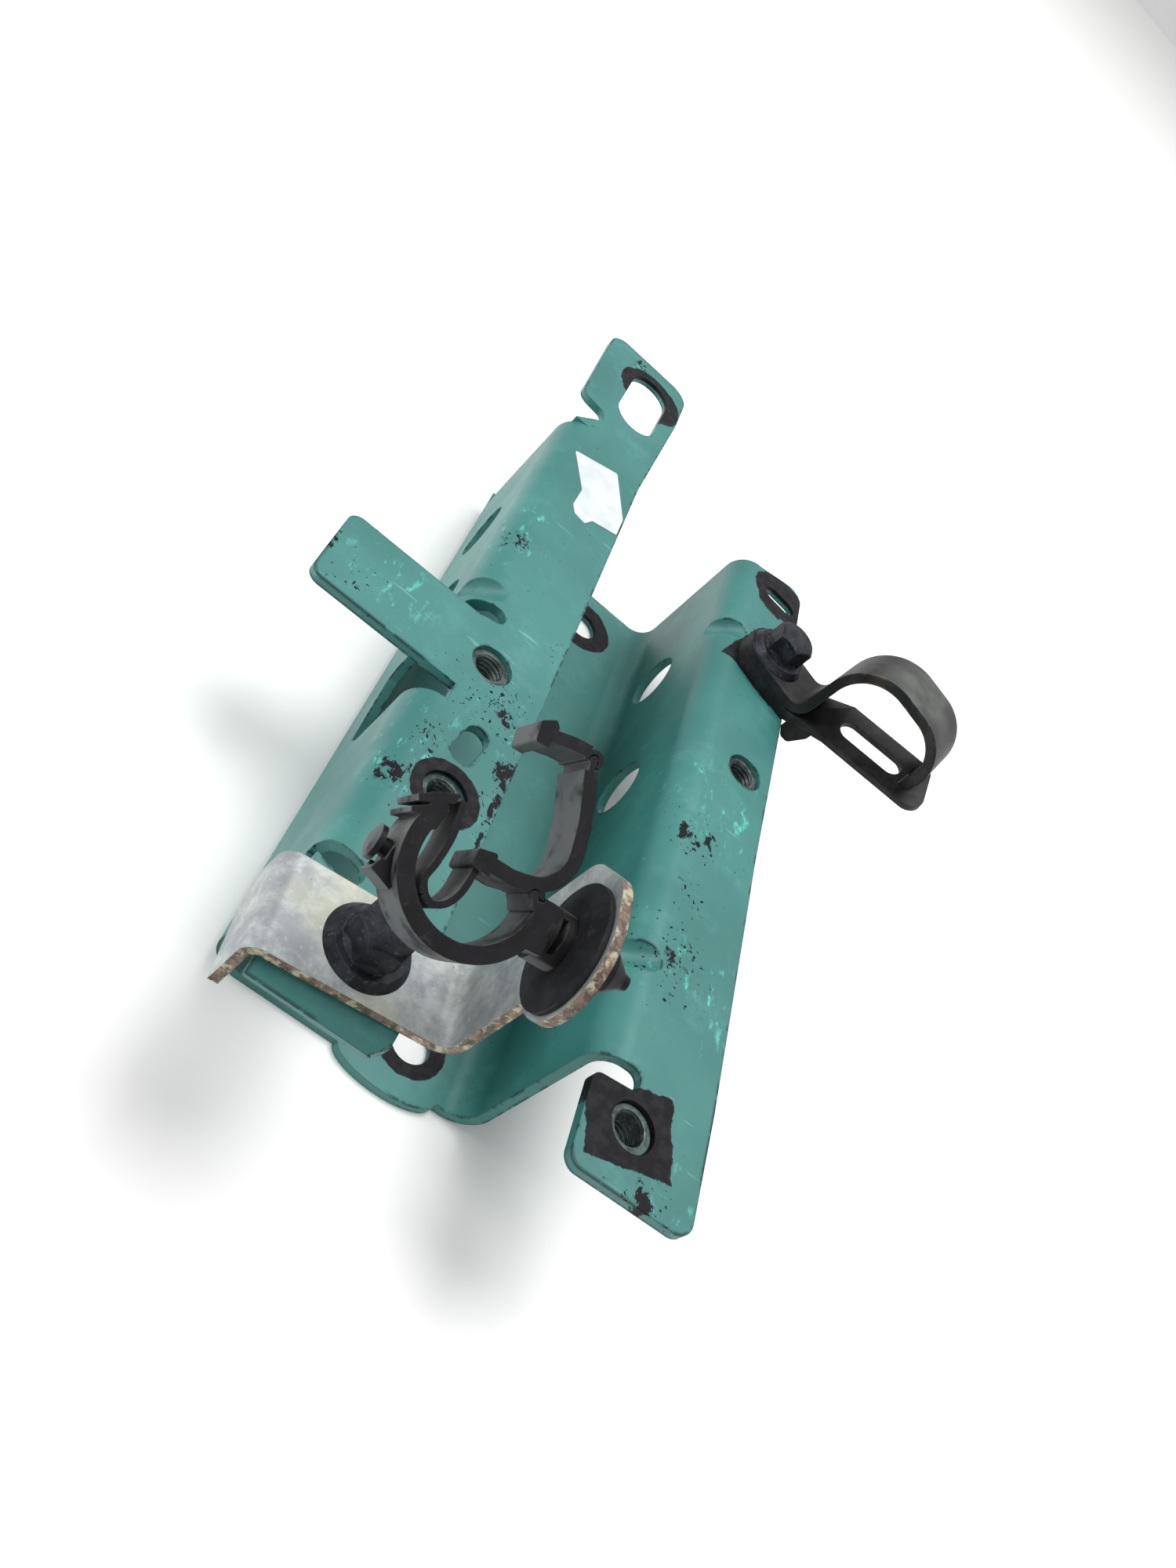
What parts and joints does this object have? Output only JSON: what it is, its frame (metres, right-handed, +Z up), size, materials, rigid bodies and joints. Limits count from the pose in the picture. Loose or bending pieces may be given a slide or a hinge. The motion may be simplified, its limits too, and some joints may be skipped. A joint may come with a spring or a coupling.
{
  "type": "sheet metal mounting bracket with pipe clips",
  "caption": "Folded green channel bracket with weld nuts and a side tab, carrying a zinc angle with a swivelling plastic pipe clip and a bolted steel band clip.",
  "frame": {"origin": "centre of the near base hole, on the underside of the base", "axes": "X across the channel towards the open flange, Y along the channel towards the slotted ear, Z up from the base to the flanges"},
  "size_m": [0.202, 0.3437, 0.1292],
  "materials": {
    "green_paint": "satin green paint, chipped",
    "dark_steel": "dark phosphated steel",
    "black_bolt": "black zinc-flake coating",
    "zinc_plate": "dull zinc plating with rusty cut edges",
    "black_rubber": "matt black rubber",
    "black_plastic": "matt black nylon",
    "band_steel": "dark phosphated spring steel",
    "paper_label": "white paper"
  },
  "bodies": {
    "bracket": {"main_bracket": "green_paint", "weld_nut_left_upper": "dark_steel", "weld_nut_left_middle": "dark_steel", "weld_nut_left_near": "dark_steel", "weld_nut_right_near": "dark_steel", "weld_nut_right_middle": "dark_steel", "weld_nut_right_far": "dark_steel", "flange_bolt_near": "black_bolt", "flange_bolt_far": "black_bolt", "zinc_angle": "zinc_plate", "band_clip_band": "band_steel", "band_clip_leg": "band_steel", "label": "paper_label"},
    "clip": {"umbrella_washer": "black_rubber", "push_in_anchor": "black_plastic", "clip_lower_jaw": "black_plastic", "clip_button": "black_plastic", "clip_strap": "black_plastic"},
    "upper_jaw": {"clip_upper_jaw": "black_plastic"},
    "latch_arm": {"clip_latch_arm": "black_plastic"}
  },
  "joints": [
    {"name": "clip_swivel", "type": "hinge", "parent": "bracket", "child": "clip", "pos_m": [-0.01501, -0.03618, 0.106], "axis": [-0.9936, -0.1132, 0], "range_deg": [-40, 55]},
    {"name": "jaw_hinge", "type": "hinge", "parent": "clip", "child": "upper_jaw", "pos_m": [-0.02955, -0.034, 0.1082], "axis": [-0.0566, 0.4968, -0.866], "range_deg": [-35, 0], "deforming": ["clip_strap"]},
    {"name": "latch_hinge", "type": "hinge", "parent": "upper_jaw", "child": "latch_arm", "pos_m": [-0.0342, -0.00908, 0.1228], "axis": [-0.0566, 0.4968, -0.866], "range_deg": [-25, 0]}
  ]
}
